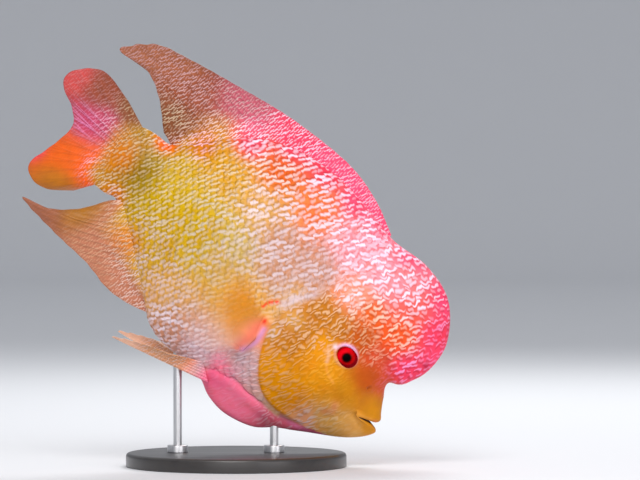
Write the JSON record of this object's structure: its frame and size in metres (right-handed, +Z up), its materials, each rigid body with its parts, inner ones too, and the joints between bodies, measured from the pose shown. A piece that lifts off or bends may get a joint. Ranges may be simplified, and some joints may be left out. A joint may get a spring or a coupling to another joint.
{
  "type": "flowerhorn cichlid",
  "caption": "Deep-bodied cichlid with a round nuchal hump and pointed fins, swimming head down, on a round stand with short rods.",
  "frame": {"origin": "centre of the stand's underside, on the floor", "axes": "+Z up, +X towards the fish's head end, so that its right side faces -Y"},
  "size_m": [0.2481, 0.128, 0.2452],
  "materials": {
    "skin": "wet scaled skin, golden yellow to red with whitish strokes",
    "hump_skin": "wet red skin with whitish worm lines",
    "throat_skin": "wet smooth pink skin",
    "fin": "thin rayed membrane, orange to red",
    "eye": "clear cornea over a red iris",
    "stand": "satin dark lacquer",
    "rod": "brushed steel"
  },
  "bodies": {
    "root": {"trunk": "skin", "head": "skin", "nuchal_hump": "hump_skin", "throat": "throat_skin", "lower_jaw": "skin", "gill_cover_right": "skin", "gill_cover_left": "skin", "tail_base": "skin", "dorsal_fin": "fin", "anal_fin": "fin", "caudal_fin": "fin", "pectoral_fin_right": "fin", "pectoral_fin_left": "fin", "pelvic_fin_right": "fin", "pelvic_fin_left": "fin", "eye_right": "eye", "eye_left": "eye", "stand_base": "stand", "stand_rod_front": "rod", "stand_rod_rear": "rod"}
  },
  "joints": []
}
